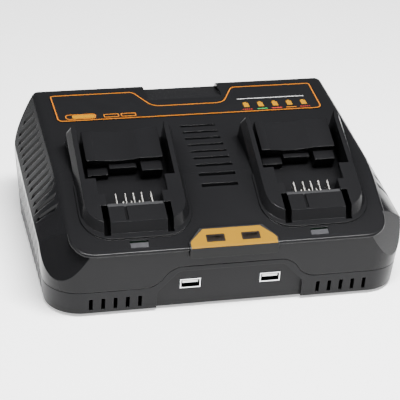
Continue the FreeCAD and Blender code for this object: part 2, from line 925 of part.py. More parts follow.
def outlet_window(side):
    centre = outlet_centre(side)
    half = size("outlet_flange_width") / 2 + size("outlet_gap")
    tall = size("outlet_flange_height") / 2 + size("outlet_gap")
    return block(centre.x - half, centre.x + half, body_front, from_front(20),
                 centre.z - tall, centre.z + tall)


# Label film
# Printed film on the rear of the deck, stepped round the dip in the rear edge.

def make_deck_label():
    outer = deck_half - size("label_margin")
    inner = size("rear_dip_width") / 2 + size("label_inner")
    neck = size("rear_dip_width") / 2 - size("label_neck")
    front_half = outer - size("label_taper")
    step = label_rear - size("label_step")
    corners = [
        Vector(-front_half, label_front, 0),
        Vector(front_half, label_front, 0),
        Vector(outer, label_rear, 0),
        Vector(inner, label_rear, 0),
        Vector(neck, step, 0),
        Vector(-neck, step, 0),
        Vector(-inner, label_rear, 0),
        Vector(-outer, label_rear, 0),
    ]
    front_corner = size("label_front_corner")
    radii = [size("label_outer_corner"), size("label_inner_corner"), size("label_neck_corner")]
    outline = rounded_wire(corners, [front_corner, front_corner] + radii + radii[::-1])
    column = prism(outline, Vector(0, 0, 2 * size("crease_height")))
    lifted = top_envelope(0)
    lifted.translate(Vector(0, 0, size("film_thick")))
    return column.common(lifted).cut(top_envelope(0))


# Outlet badge
# A thin plate bent over the crease above the two outlets.

def make_port_badge():
    half = size("badge_width") / 2
    top_half = size("badge_top_width") / 2
    run = size("badge_run") * math.cos(slope_angle)
    thick = size("badge_thick")
    front = body_front - thick
    crease = size("crease_height")
    low = crease - size("badge_flap")
    profile = closed_wire([
        Vector(-half, front, low),
        Vector(-half, front, crease + 0.35 * thick),
        Vector(-half, body_front, crease + 1.1 * thick),
        Vector(-half, body_front + run, crease + run * slope_tangent + 1.1 * thick),
        Vector(-half, body_front + run, crease - 15),
        Vector(-half, body_front + 2.2, low),
    ])
    plate = prism(profile, Vector(2 * half, 0, 0))
    plan = closed_wire([
        Vector(-half, front - 1, 0),
        Vector(half, front - 1, 0),
        Vector(half, body_front + size("badge_shoulder"), 0),
        Vector(top_half, body_front + run + 1, 0),
        Vector(-top_half, body_front + run + 1, 0),
        Vector(-half, body_front + size("badge_shoulder"), 0),
    ])
    plate = plate.common(prism(plan, Vector(0, 0, 2 * crease)))
    face = rounded_wire([
        Vector(-half, 0, low),
        Vector(half, 0, low),
        Vector(half, 0, crease + 30),
        Vector(-half, 0, crease + 30),
    ], [size("badge_corner"), size("badge_corner"), 0, 0])
    face.translate(Vector(0, body_front - 10, 0))
    plate = plate.common(prism(face, Vector(0, 40, 0)))
    plate = plate.cut(outer_form)
    return max(plate.Solids, key=lambda solid: solid.Volume)


# Parts built from primitives, bound to the sheet

def bind(thing, sizes, place):
    for name, rule in sizes.items():
        thing.setExpression(name, rule)
    for axis, rule in zip("xyz", place):
        thing.setExpression("Placement.Base." + axis, rule)
    return thing


def box(label, sizes, place):
    thing = doc.addObject("Part::Box", label)
    thing.Label = label
    return bind(thing, dict(zip(("Length", "Width", "Height"), sizes)), place)


def rod(label, radius, height, place, turn=None):
    thing = doc.addObject("Part::Cylinder", label)
    thing.Label = label
    if turn is not None:
        thing.Placement = Placement(Vector(0, 0, 0), turn)
    return bind(thing, {"Radius": radius, "Height": height}, place)


def group(label, members, placement=None):
    thing = doc.addObject("Part::Compound", label)
    thing.Label = label
    thing.Links = members
    if placement is not None:
        thing.Placement = placement
    return thing


def fused(label, members):
    thing = doc.addObject("Part::MultiFuse", label)
    thing.Label = label
    thing.Shapes = members
    return thing


def cut(label, base, tool):
    thing = doc.addObject("Part::Cut", label)
    thing.Label = label
    thing.Base = base
    thing.Tool = tool
    return thing


FRONT = "(-(dims.body_depth + dims.gland_stand - dims.badge_thick) / 2)"
FLOOR_TOP = "(dims.foot_stand + dims.wall_thick)"
BOARD_UNDER = "(" + FLOOR_TOP + " + dims.board_stand)"
BOARD_TOP = "(" + BOARD_UNDER + " + dims.board_thick)"
SIDES = (("left", -1), ("right", 1))


# Feet and screws

def make_feet():
    feet = []
    for index, place in enumerate(foot_places()):
        sign = "-" if place.x < 0 else ""
        station = "dims.foot_front" if index < 2 else "dims.body_depth - dims.foot_rear"
        feet.append(rod("foot_%d" % index, "dims.foot_diameter / 2", "dims.foot_stand",
                        (sign + "(dims.body_width / 2 - dims.foot_inset)", FRONT + " + " + station, "0")))
    return group("rubber_feet", feet)


def make_case_screws():
    screws = []
    for index, place in enumerate(post_places()):
        sign = "-" if place.x < 0 else ""
        station = "dims.post_front" if index < 2 else "dims.body_depth - dims.post_rear"
        x_rule = sign + "(dims.body_width / 2 - dims.post_inset)"
        y_rule = FRONT + " + " + station
        seat = "dims.foot_stand + dims.screw_sink"
        head = rod("case_screw_head_%d" % index, "dims.screw_head / 2", "dims.screw_head_height",
                   (x_rule, y_rule, seat + " - dims.screw_head_height"))
        shank = rod("case_screw_shank_%d" % index, "dims.screw_diameter / 2 - dims.screw_bite",
                    "dims.post_split + dims.screw_grip - (" + seat + ")",
                    (x_rule, y_rule, seat))
        screws.append(fused("case_screw_%d" % index, [head, shank]))
    return group("case_screws", screws)


def make_main_board():
    plate = box("main_board_plate", ("dims.board_width", "dims.board_depth", "dims.board_thick"),
                ("-dims.board_width / 2", FRONT + " + dims.board_front", BOARD_UNDER))
    holes = []
    for index, place in enumerate(board_places()):
        x_rule = ("-" if place.x < 0 else "") + "(dims.board_width / 2 - dims.board_pin_inset)"
        station = "dims.board_pin_inset" if index < 2 else "dims.board_depth - dims.board_pin_inset"
        y_rule = FRONT + " + dims.board_front + " + station
        holes.append(rod("board_hole_%d" % index, "dims.board_pin / 2 + dims.seat_clearance",
                         "dims.board_thick + 2", (x_rule, y_rule, BOARD_UNDER + " - 1")))
    return cut("main_board", plate, fused("board_holes", holes))


# Outlets

def make_outlet(name, sign):
    centre = outlet_centre(sign)
    frame = Placement(centre, Rotation())
    flange = box("outlet_flange_" + name,
                 ("dims.outlet_flange_width", "dims.outlet_flange_thick", "dims.outlet_flange_height"),
                 ("-dims.outlet_flange_width / 2", "-dims.outlet_flange_stand",
                  "-dims.outlet_flange_height / 2"))
    can = box("outlet_can_" + name,
              ("dims.outlet_mouth_width + 2 * dims.outlet_shell_wall", "dims.outlet_depth",
               "dims.outlet_mouth_height + 2 * dims.outlet_shell_wall"),
              ("-dims.outlet_mouth_width / 2 - dims.outlet_shell_wall", "0",
               "-dims.outlet_mouth_height / 2 - dims.outlet_shell_wall"))
    mouth = box("outlet_mouth_" + name,
                ("dims.outlet_mouth_width", "dims.outlet_depth", "dims.outlet_mouth_height"),
                ("-dims.outlet_mouth_width / 2", "-dims.outlet_shell_wall - 1",
                 "-dims.outlet_mouth_height / 2"))
    shell = cut("usb_shell_" + name, fused("outlet_body_" + name, [flange, can]), mouth)
    shell.Placement = frame
    plate = box("usb_tongue_plate_" + name,
                ("dims.outlet_mouth_width - 2 * dims.tongue_side_gap", "dims.outlet_depth - 2.2",
                 "dims.tongue_plate_thick"),
                ("-dims.outlet_mouth_width / 2 + dims.tongue_side_gap",
                 "dims.outlet_flange_thick - dims.outlet_shell_wall",
                 "dims.outlet_mouth_height / 2 - dims.tongue_plate_thick - dims.tongue_top_gap"))
    tongue = group("usb_tongue_" + name, [plate], frame)
    strips = []
    for index in range(4):
        strips.append(box("usb_strip_%s_%d" % (name, index),
                          ("dims.contact_width", "dims.contact_length", "dims.contact_thick"),
                          ("%s * dims.contact_pitch - dims.contact_width / 2" % (index - 1.5),
                           "dims.contact_start",
                           "dims.outlet_mouth_height / 2 - dims.tongue_plate_thick"
                           " - dims.tongue_top_gap - dims.contact_thick")))
    contacts = group("usb_contacts_" + name, strips, frame)
    return shell, tongue, contacts


def make_outlet_board():
    wide = "(dims.outlet_pitch + 2 * dims.outlet_board_margin)"
    under_shell = "dims.outlet_height - dims.outlet_mouth_height / 2 - dims.outlet_shell_wall"
    return box("usb_board", (wide, "dims.outlet_board_depth", "dims.board_thick"),
               ("-%s / 2" % wide, "%r + dims.outlet_board_set_back" % panel_face_y(),
                under_shell + " - dims.board_thick"))


# Terminals

def make_terminals(name, sign):
    frame = dock_frame(sign)
    block_height = "dims.tray_depth - dims.terminal_drop"
    centre_width = "(dims.well_width - 2 * dims.channel_width)"
    wide = centre_width + " - 2 * dims.seat_clearance"
    back_y = "dims.well_front + dims.seat_clearance"
    blade_y = back_y + " + dims.terminal_back"
    back = box("terminal_back_" + name, (wide, "dims.terminal_back", block_height),
               ("-(%s) / 2" % wide, back_y, "-dims.tray_depth"))
    sill = box("terminal_sill_" + name,
               (wide, "dims.blade_reach + dims.terminal_sill_rim", "dims.terminal_sill"),
               ("-(%s) / 2" % wide, blade_y, "-dims.tray_depth"))
    terminal_block = fused("terminal_block_" + name, [back, sill])
    terminal_block.Placement = frame
    blades = []
    spots = ["-dims.blade_outer", "-dims.blade_spacing", "0", "dims.blade_spacing", "dims.blade_outer"]
    blade_z = "-dims.blade_drop - dims.blade_height"
    for index, spot in enumerate(spots):
        blades.append(box("blade_%s_%d" % (name, index),
                          ("dims.blade_thick", "dims.blade_reach", "dims.blade_height"),
                          (spot + " - dims.blade_thick / 2", blade_y, blade_z)))
    for index, spot in enumerate(spots[1:4]):
        blades.append(box("short_blade_%s_%d" % (name, index),
                          ("dims.blade_thick", "dims.blade_reach * 0.4", "dims.blade_height * 0.7"),
                          (spot + " - dims.blade_thick / 2 - dims.blade_twin_gap", blade_y, blade_z)))
    return terminal_block, group("terminal_blades_" + name, blades, frame)


# Lamps

def make_lamp(name, sign):
    frame = lamp_frame(sign)
    under = "-dims.wall_thick * cos(dims.front_slope)"
    lens = box("lamp_lens_plate_" + name, ("dims.lamp_width", "dims.lamp_height", "dims.wall_thick * 0.75"),
               ("-dims.lamp_width / 2", "-dims.lamp_height / 2", under))
    board = box("lamp_board_plate_" + name,
                ("dims.lamp_width + 2 * dims.lamp_board_margin", "dims.lamp_height + 5",
                 "dims.lamp_board_thick"),
                ("-dims.lamp_width / 2 - dims.lamp_board_margin", "-1.2",
                 under + " - dims.lamp_board_thick"))
    return group("lamp_lens_" + name, [lens], frame), group("lamp_board_" + name, [board], frame)


# Electronics on the main board

def make_transformer():
    place_y = FRONT + " + dims.board_front + dims.core_row"
    core = box("core_block", ("dims.core_width", "dims.core_depth", "dims.core_height"),
               ("-dims.core_width / 2", place_y, BOARD_TOP))
    windows = []
    for index, sign in enumerate(("-1", "1")):
        window_x = ("%s * (dims.core_width - 2 * dims.core_side_leg - dims.core_window) / 2"
                    " - dims.core_window / 2")
        windows.append(box("core_window_%d" % index,
                           ("dims.core_window", "dims.core_depth + 2",
                            "dims.core_height - 2 * dims.core_yoke"),
                           (window_x % sign, place_y + " - 1", BOARD_TOP + " + dims.core_yoke")))
    transformer_core = cut("transformer_core", core, fused("core_windows", windows))
    coil_half = "(dims.core_width / 2 - dims.core_side_leg - dims.coil_clearance)"
    coil_outer = box("coil_outer",
                     ("2 * " + coil_half, "dims.core_depth + 2 * dims.coil_overhang",
                      "dims.core_height - 2 * dims.core_yoke - 2 * dims.coil_clearance"),
                     ("-" + coil_half, place_y + " - dims.coil_overhang", BOARD_TOP + " + dims.core_yoke"))
    leg_half = "(dims.core_width / 2 - dims.core_side_leg - dims.core_window + dims.coil_clearance)"
    leg = box("coil_leg",
              ("2 * " + leg_half, "dims.core_depth + 2 * dims.coil_clearance", "dims.core_height"),
              ("-" + leg_half, place_y + " - dims.coil_clearance", BOARD_TOP))
    winding = cut("transformer_winding", coil_outer, leg)
    return transformer_core, winding


MAINS_ROW = FRONT + " + dims.board_front + dims.mains_row"


def make_capacitors():
    bulk = rod("bulk_capacitor", "dims.capacitor_diameter / 2", "dims.capacitor_height",
               ("-dims.board_width / 2 + dims.bulk_inset", MAINS_ROW, BOARD_TOP))
    output = []
    for index in range(2):
        output.append(rod("output_capacitor_%d" % index, "dims.output_diameter / 2", "dims.output_height",
                          ("(%d - 0.5) * dims.output_pitch" % index,
                           FRONT + " + dims.board_front + dims.output_row", BOARD_TOP)))
    return bulk, group("output_capacitors", output)


SINK_X = "%d * (dims.board_width / 2 - dims.sink_inset)"
SINK_Y = FRONT + " + dims.board_front + dims.sink_row"


def make_heatsink(name, sign):
    left_end = SINK_X % sign + " - dims.sink_width / 2"
    fins = [box("sink_plate_" + name, ("dims.sink_width", "dims.sink_plate", "dims.sink_height"),
                (left_end, SINK_Y, BOARD_TOP))]
    for index in range(6):
        fins.append(box("sink_fin_%s_%d" % (name, index),
                        ("dims.sink_fin", "dims.sink_reach", "dims.sink_height"),
                        (left_end + " + %d * (dims.sink_width - dims.sink_fin) / 5" % index,
                         SINK_Y + " + dims.sink_plate", BOARD_TOP)))
    return fused("heatsink_" + name, fins)


def make_transistors():
    chips = []
    for name, sign in SIDES:
        for index in (-1, 1):
            chips.append(box("transistor_%s_%d" % (name, index),
                             ("dims.chip_width", "dims.chip_thick", "dims.chip_height"),
                             (SINK_X % sign + " + %d * dims.chip_spacing / 2 - dims.chip_width / 2" % index,
                              SINK_Y + " - dims.chip_thick", BOARD_TOP + " + dims.chip_stand")))
    return group("power_transistors", chips)


def make_small_parts():
    choke_x = "-dims.board_width / 2 + dims.choke_inset"
    ring_outer = rod("choke_outer", "dims.choke_diameter / 2", "dims.choke_height",
                     (choke_x, MAINS_ROW, BOARD_TOP))
    ring_hole = rod("choke_hole", "dims.choke_hole / 2", "dims.choke_height + 2",
                    (choke_x, MAINS_ROW, BOARD_TOP + " - 1"))
    ring = cut("filter_choke", ring_outer, ring_hole)
    bridge = box("bridge_rectifier", ("dims.bridge_width", "dims.bridge_thick", "dims.bridge_height"),
                 ("dims.board_width / 2 - dims.bridge_inset", MAINS_ROW, BOARD_TOP))
    fuse = rod("mains_fuse", "dims.fuse_diameter / 2", "dims.fuse_length",
               ("dims.board_width / 2 - dims.fuse_inset", MAINS_ROW,
                BOARD_TOP + " + dims.fuse_diameter / 2"),
               Rotation(Vector(0, 1, 0), 90))
    return [ring, bridge, fuse]


# Cord gland
# A turned grommet in the rear wall: outer collar, groove for the wall, inner collar.

def make_cord_gland():
    body = doc.addObject("PartDesign::Body", "cord_gland")
    body.Label = "cord_gland"
    sketch = body.newObject("Sketcher::SketchObject", "gland_profile")
    plane = [item for item in body.Origin.OriginFeatures if item.Role == "XY_Plane"][0]
    sketch.AttachmentSupport = [(plane, "")]
    sketch.MapMode = "FlatFace"
    bore = size("gland_bore") / 2
    neck = size("gland_body") / 2 - size("seat_clearance") / 2
    collar = size("gland_flange") / 2
    stand = size("gland_stand")
    seat = gland_seat_thick
    lock = collar - size("gland_lock_step")
    points = [
        Vector(bore, stand, 0),
        Vector(collar - size("gland_taper"), stand, 0),
        Vector(collar, 0, 0),
        Vector(neck, 0, 0),
        Vector(neck, -seat, 0),
        Vector(lock, -seat, 0),
        Vector(lock, -seat - size("gland_lock"), 0),
        Vector(bore, -seat - size("gland_lock"), 0),
    ]
    for index, point in enumerate(points):
        sketch.addGeometry(Part.LineSegment(point, points[(index + 1) % len(points)]), False)
    turned = body.newObject("PartDesign::Revolution", "gland_turned")
    turned.Profile = sketch
    turned.ReferenceAxis = (sketch, ["V_Axis"])
    turned.Angle = 360
    body.Tip = turned
    body.Placement = Placement(gland_place(), Rotation())
    return body


def gland_seat():
    # Flat boss on the rear wall that the gland's collar sits against.
    place = gland_place()
    rim = size("gland_flange") / 2 + size("gland_boss_rim")
    outer = Part.makeCylinder(rim, gland_seat_thick, place, Vector(0, -1, 0))
    hole = Part.makeCylinder(size("gland_body") / 2, gland_seat_thick + 10, place + Vector(0, 5, 0),
                             Vector(0, -1, 0))
    return outer, hole


gland_seat_thick = wall + size("wall_draft")


# Build every sub-part

def make_housing():
    boss, hole = gland_seat()
    cover = make_top_cover().fuse(boss).cut(hole).removeSplitter()
    return [
        add_feature("top_cover", cover),
        add_feature("base_tray", make_base_tray()),
        add_feature("deck_label", make_deck_label()),
        add_feature("port_badge", make_port_badge()),
    ]


nodes = make_housing()
nodes.append(make_feet())
nodes.append(make_case_screws())
nodes.append(make_main_board())
nodes.append(make_outlet_board())
for side_name, side_sign in SIDES:
    nodes.extend(make_outlet(side_name, side_sign))
    nodes.extend(make_terminals(side_name, side_sign))
    nodes.extend(make_lamp(side_name, side_sign))
    nodes.append(make_heatsink(side_name, side_sign))
nodes.extend(make_transformer())
nodes.extend(make_capacitors())
nodes.append(make_transistors())
nodes.extend(make_small_parts())
nodes.append(make_cord_gland())

doc.recompute()

# Check and write

for thing in doc.Objects:
    if "Invalid" in thing.State or "Error" in thing.State:
        raise RuntimeError("failed object: " + thing.Label)

os.makedirs("parts", exist_ok=True)
for node in nodes:
    if node.Shape.isNull() or not node.Shape.isValid():
        raise RuntimeError("bad shape: " + node.Label)
    node.Shape.exportStep("parts/" + node.Label + ".step")
    print(node.Label, len(node.Shape.Solids), round(node.Shape.Volume, 1))
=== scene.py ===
"""Two-bay battery charger with two outlets in its front wall: the looks of every piece."""

import math

import bmesh
import bpy
from mathutils import Matrix, Vector


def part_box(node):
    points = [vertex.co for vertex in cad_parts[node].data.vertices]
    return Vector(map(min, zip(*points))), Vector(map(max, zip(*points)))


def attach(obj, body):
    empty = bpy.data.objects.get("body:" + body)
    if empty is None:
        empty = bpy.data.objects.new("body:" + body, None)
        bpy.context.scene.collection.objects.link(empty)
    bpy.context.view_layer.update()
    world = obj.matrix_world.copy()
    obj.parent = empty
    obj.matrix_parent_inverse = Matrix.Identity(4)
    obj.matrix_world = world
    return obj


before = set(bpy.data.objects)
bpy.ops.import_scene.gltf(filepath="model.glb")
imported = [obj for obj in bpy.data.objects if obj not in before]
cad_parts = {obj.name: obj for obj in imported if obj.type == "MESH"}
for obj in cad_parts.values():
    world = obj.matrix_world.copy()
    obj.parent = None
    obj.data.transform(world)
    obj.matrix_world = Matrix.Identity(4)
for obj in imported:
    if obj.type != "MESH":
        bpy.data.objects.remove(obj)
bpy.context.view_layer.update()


# The photographer's table.
# A pale sheet runs under the charger and far behind it. A broad soft box overhead gives
# nearly all the light; three weak ones lift the left, the right and the front left.

camera_place = Vector((-0.2563, -0.9701, 0.5778))
camera_right = Vector((0.97246, -0.22776, 0.04936))
camera_up = Vector((0.06635, 0.47361, 0.87822))

lens = bpy.data.cameras.new("photo_lens")
lens.sensor_width = 36.0
lens.lens = 138.1
lens.clip_start = 0.05
camera = bpy.data.objects.new("photo_camera", lens)
camera_axes = Matrix((camera_right, camera_up, camera_right.cross(camera_up))).transposed()
camera.matrix_world = Matrix.Translation(camera_place) @ camera_axes.to_4x4()
bpy.context.scene.collection.objects.link(camera)
bpy.context.scene.camera = camera

sky = bpy.data.worlds.new("studio_air")
sky.use_nodes = True
air = sky.node_tree.nodes["Background"]
air.inputs["Color"].default_value = (0.95, 0.97, 1.0, 1.0)
air.inputs["Strength"].default_value = 0.16
bpy.context.scene.world = sky


def soft_box(name, place, target, wide, deep, watts):
    lamp = bpy.data.lights.new(name, "AREA")
    lamp.shape = "RECTANGLE"
    lamp.size = wide
    lamp.size_y = deep
    lamp.energy = watts
    holder = bpy.data.objects.new(name, lamp)
    holder.location = place
    holder.rotation_euler = (Vector(target) - Vector(place)).to_track_quat("-Z", "Y").to_euler()
    bpy.context.scene.collection.objects.link(holder)


soft_box("overhead_box", (0.10, -0.33, 1.12), (0.0, 0.0, 0.05), 0.8, 0.2, 62.0)
soft_box("left_box", (-0.95, -0.33, 0.9), (0.0, 0.0, 0.03), 0.5, 0.4, 3.5)
soft_box("right_box", (0.95, -0.5, 0.5), (0.0, 0.0, 0.03), 0.5, 0.5, 4.0)
soft_box("front_fill", (-1.0, -0.9, 0.55), (0.0, 0.0, 0.03), 0.6, 0.4, 5.0)

table_sheet = bpy.data.meshes.new("table_sheet")
table_half = 6.0
table_drop = 0.00005
table_sheet.from_pydata(
    [(-table_half, -table_half, -table_drop), (table_half, -table_half, -table_drop),
     (table_half, table_half, -table_drop), (-table_half, table_half, -table_drop)],
    [], [(0, 1, 2, 3)])
table_top = bpy.data.objects.new("table_top", table_sheet)
bpy.context.scene.collection.objects.link(table_top)


# Top cover.
# One injection moulding in charcoal-black plastic with a fine spark-eroded texture. It
# forms the fascia, the sloping front, the deck, the side facets and both battery bays.

class Signal:
    """A value on its way between shader nodes; an expression on it adds Math nodes."""

    def __init__(self, finish, socket):
        self.finish = finish
        self.socket = socket

    def maths(self, operation, first, second):
        return self.finish.node("ShaderNodeMath", {"operation": operation}, {0: first, 1: second})

    def __add__(self, other):
        return self.maths("ADD", self, other)

    __radd__ = __add__

    def __sub__(self, other):
        return self.maths("SUBTRACT", self, other)

    def __rsub__(self, other):
        return self.maths("SUBTRACT", other, self)

    def __mul__(self, other):
        return self.maths("MULTIPLY", self, other)

    __rmul__ = __mul__

    def __gt__(self, other):
        return self.maths("GREATER_THAN", self, other)

    def __abs__(self):
        return self.maths("ABSOLUTE", self, 0.0)

    def or_more(self, other):
        return self.maths("MAXIMUM", self, other)


class Finish:
    """One material: its nodes are added by name and joined to one surface shader."""

    def __init__(self, name):
        self.material = bpy.data.materials.new(name)
        self.material.use_nodes = True
        self.tree = self.material.node_tree
        self.tree.nodes.clear()

    def node(self, kind, settings=None, inputs=None, out=0):
        made = self.tree.nodes.new(kind)
        for key, value in (settings or {}).items():
            setattr(made, key, value)
        for key, value in (inputs or {}).items():
            if isinstance(value, Signal):
                self.tree.links.new(value.socket, made.inputs[key])
            else:
                made.inputs[key].default_value = value
        return Signal(self, made.outputs[out]) if len(made.outputs) else None

    def place(self):
        return self.node("ShaderNodeTexCoord", out="Object")

    def along(self, axis):
        return self.node("ShaderNodeSeparateXYZ", None, {"Vector": self.place()}, out=axis)

    def cloud(self, scale, detail=2.0, where=None):
        inputs = {"Vector": where or self.place(), "Scale": scale, "Detail": detail}
        return self.node("ShaderNodeTexNoise", None, inputs, out="Fac")

    def blend(self, amount, first, second):
        inputs = {0: amount}
        for index, colour in ((6, first), (7, second)):
            inputs[index] = colour if isinstance(colour, Signal) else (*colour, 1.0)
        return self.node("ShaderNodeMix", {"data_type": "RGBA"}, inputs, out=2)

    def bump(self, height, distance, strength=1.0, edge=0.0):
        inputs = {"Height": height, "Distance": distance, "Strength": strength}
        if edge > 0:
            inputs["Normal"] = self.node("ShaderNodeBevel", {"samples": 4}, {"Radius": edge})
        return self.node("ShaderNodeBump", None, inputs)

    def surface(self, **inputs):
        named = {key.replace("_", " ").title().replace("Ior", "IOR"): value for key, value in inputs.items()}
        for key, value in named.items():
            if isinstance(value, tuple) and len(value) == 3:
                named[key] = (*value, 1.0)
        shader = self.node("ShaderNodeBsdfPrincipled", None, named)
        self.node("ShaderNodeOutputMaterial", None, {"Surface": shader})
        return self.material


def moulded_plastic(name, colour, roughness, grain=0.00003, edge=0.0006, shine=0.12):
    finish = Finish(name)
    flow = finish.cloud(11.0, 3.0)
    speck = finish.cloud(1500.0, 1.0)
    paler = tuple(part * 1.35 + 0.002 for part in colour)
    painted_recess_shade = tuple(part * 0.1 for part in colour)
    tone = finish.blend(flow * 0.6 + speck * 0.3, colour, paler)
    # Painted shade: the colour darkens to a tenth in recesses and between parts, wherever an ambient
    # occlusion node finds them within 12 mm.
    unshaded_share = finish.node("ShaderNodeAmbientOcclusion", {"samples": 8}, {"Distance": 0.012}, out="AO")
    tone = finish.blend(unshaded_share, painted_recess_shade, tone)
    sheen = roughness + (flow - 0.5) * 0.10 + (speck - 0.5) * 0.10
    relief = finish.bump(finish.cloud(2200.0, 1.0), grain, 0.5, edge)
    return finish.surface(base_color=tone, roughness=sheen, specular_ior_level=shine, normal=relief)


def clad(node_name, material):
    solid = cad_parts[node_name]
    solid.data.materials.clear()
    solid.data.materials.append(material)


clad("top_cover", moulded_plastic("cover_plastic", (0.0042, 0.0042, 0.0046), 0.17))


# Base tray.
# The lower moulding, a shade flatter than the cover. It carries the outlet panel, which
# rises into the cover's front wall, and stands on the feet.

clad("base_tray", moulded_plastic("base_plastic", (0.0035, 0.0035, 0.004), 0.34))


# Label on the deck.
# A satin film stuck behind the bays and screen printed. An orange line follows its edge,
# with battery marks at the left and five status marks over coloured bars at the right.

film_low, film_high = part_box("deck_label")
film_thick = 0.0004
film_slope = (film_high.z - film_low.z - film_thick) / (film_high.y - film_low.y)
ink_thick = 0.00006


def film_height(y):
    return film_high.z - (film_high.y - y) * film_slope


def satin_film(name, colour, roughness=0.38, shine=0.15):
    finish = Finish(name)
    scuff = finish.cloud(90.0, 4.0)
    tone = finish.blend(scuff * 0.5, colour, tuple(part * 1.25 + 0.001 for part in colour))
    relief = finish.bump(finish.cloud(700.0, 2.0), 0.00002, 0.4)
    return finish.surface(base_color=tone, roughness=roughness + (scuff - 0.5) * 0.12,
                          specular_ior_level=shine, normal=relief)


def screen_ink(name, colour):
    finish = Finish(name)
    patch = finish.cloud(600.0, 3.0)
    tone = finish.blend(patch * 0.35, colour, tuple(part * 0.8 for part in colour))
    return finish.surface(base_color=tone, roughness=0.5 + (patch - 0.5) * 0.2, specular_ior_level=0.08)


def rounded_path(corners, radii, steps=7):
    path = []
    count = len(corners)
    for index, radius in enumerate(radii):
        corner = Vector(corners[index])
        before = (Vector(corners[index - 1]) - corner).normalized()
        after = (Vector(corners[(index + 1) % count]) - corner).normalized()
        half_angle = before.angle(after) / 2
        centre = corner + (before + after).normalized() * radius / math.sin(half_angle)
        first = corner + before * radius / math.tan(half_angle) - centre
        last = corner + after * radius / math.tan(half_angle) - centre
        swing = first.angle_signed(last)
        for step in range(steps + 1):
            turned = first.copy()
            turned.rotate(Matrix.Rotation(-swing * step / steps, 2))
            path.append(centre + turned)
    return path


def inset_path(path, distance):
    inner = []
    count = len(path)
    for index, point in enumerate(path):
        along = (path[(index + 1) % count] - path[index - 1]).normalized()
        inner.append(point + Vector((-along.y, along.x)) * distance)
    return inner


def box_path(x0, x1, y0, y1, radius):
    return rounded_path([(x0, y0), (x1, y0), (x1, y1), (x0, y1)], [radius] * 4, 4)


def settle(name, shape, material, body="root"):
    # Joins loose seams, turns faces outwards and hands the piece to its body.
    work = bmesh.new()
    work.from_mesh(shape)
    bmesh.ops.remove_doubles(work, verts=work.verts, dist=1e-6)
    bmesh.ops.recalc_face_normals(work, faces=work.faces)
    work.to_mesh(shape)
    work.free()
    shape.materials.clear()
    shape.materials.append(material)
    piece = bpy.data.objects.new(name, shape)
    bpy.context.scene.collection.objects.link(piece)
    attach(piece, body)
    return piece


def printed(name, loops, height, ink, thick=ink_thick):
    # Flat closed loops filled and laid on a surface whose height depends on Y only.
    outline = bpy.data.curves.new(name, "CURVE")
    outline.dimensions = "2D"
    outline.fill_mode = "BOTH"
    outline.extrude = thick / 2
    for loop in loops:
        spline = outline.splines.new("POLY")
        spline.points.add(len(loop) - 1)
        for point, spot in zip(spline.points, loop):
            point.co = (spot[0], spot[1], 0, 1)
        spline.use_cyclic_u = True
    holder = bpy.data.objects.new(name + "_outline", outline)
    bpy.context.scene.collection.objects.link(holder)
    shape = bpy.data.meshes.new_from_object(holder)
    bpy.data.objects.remove(holder)
    for vertex in shape.vertices:
        vertex.co.z += height(vertex.co.y) + thick / 2
    return settle(name, shape, ink)


clad("deck_label", satin_film("label_film", (0.0045, 0.0045, 0.005)))
orange_ink = screen_ink("orange_ink", (0.36, 0.105, 0.0))
yellow_ink = screen_ink("yellow_ink", (0.26, 0.115, 0.0))
white_ink = screen_ink("white_ink", (0.60, 0.60, 0.59))
red_ink = screen_ink("red_ink", (0.40, 0.03, 0.02))
green_ink = screen_ink("green_ink", (0.03, 0.26, 0.06))

film_side = film_high.x
film_front = film_low.y
film_back = film_high.y
step_depth = 0.0227
step_outer = 0.0385
step_inner = 0.0270
front_narrowing = 0.0008
front_radius = 0.005
back_radius = 0.003
step_top_radius = 0.006
step_foot_radius = 0.009
line_outside = 0.0005
line_inside = 0.0013
film_edge = rounded_path(
    [(-film_side + front_narrowing, film_front), (film_side - front_narrowing, film_front),
     (film_side, film_back), (step_outer, film_back), (step_inner, film_back - step_depth),
     (-step_inner, film_back - step_depth), (-step_outer, film_back), (-film_side, film_back)],
    [front_radius, front_radius, back_radius, step_top_radius, step_foot_radius, step_foot_radius,
     step_top_radius, back_radius])
printed("label_line", [inset_path(film_edge, line_outside), inset_path(film_edge, line_inside)],
        film_height, orange_ink)

mark_line = 0.0007
battery_mark = box_path(-0.0955, -0.0725, 0.0440, 0.0510, 0.0028)
printed("battery_mark_line", [battery_mark, inset_path(battery_mark, mark_line)],
        film_height, orange_ink)
printed("battery_mark_charge", [box_path(-0.0905, -0.0735, 0.0451, 0.0499, 0.0018)],
        film_height, yellow_ink)
cell_mark_long = 0.0115
for number, mark_left in enumerate((-0.0668, -0.0538)):
    cell_mark = box_path(mark_left, mark_left + cell_mark_long, 0.0445, 0.0492, 0.0011)
    printed("cell_mark_%d" % number, [cell_mark, inset_path(cell_mark, mark_line)],
            film_height, orange_ink)
printed("label_rule", [box_path(0.0393, 0.0922, 0.0609, 0.0614, 0.0002)],
        film_height, white_ink)

status_first = 0.0440
status_pitch = 0.0114
status_inks = (red_ink, green_ink, red_ink, orange_ink, red_ink)
bar_long = 0.0082
bar_front = 0.0447
bar_back = 0.0456
dashes_in_dotted_bar = 5
dash_share = 0.55
for number, status_ink in enumerate(status_inks):
    status_x = status_first + number * status_pitch
    dotted = number in (0, len(status_inks) - 1)
    dashes = dashes_in_dotted_bar if dotted else 1
    dash_room = bar_long / dashes
    dash_long = dash_room * (dash_share if dotted else 1.0)
    dash_loops = []
    for dash in range(dashes):
        dash_x = status_x - bar_long / 2 + dash * dash_room
        dash_loops.append(box_path(dash_x, dash_x + dash_long, bar_front, bar_back, 0.0003))
    printed("status_bar_%d" % number, dash_loops, film_height, status_ink)


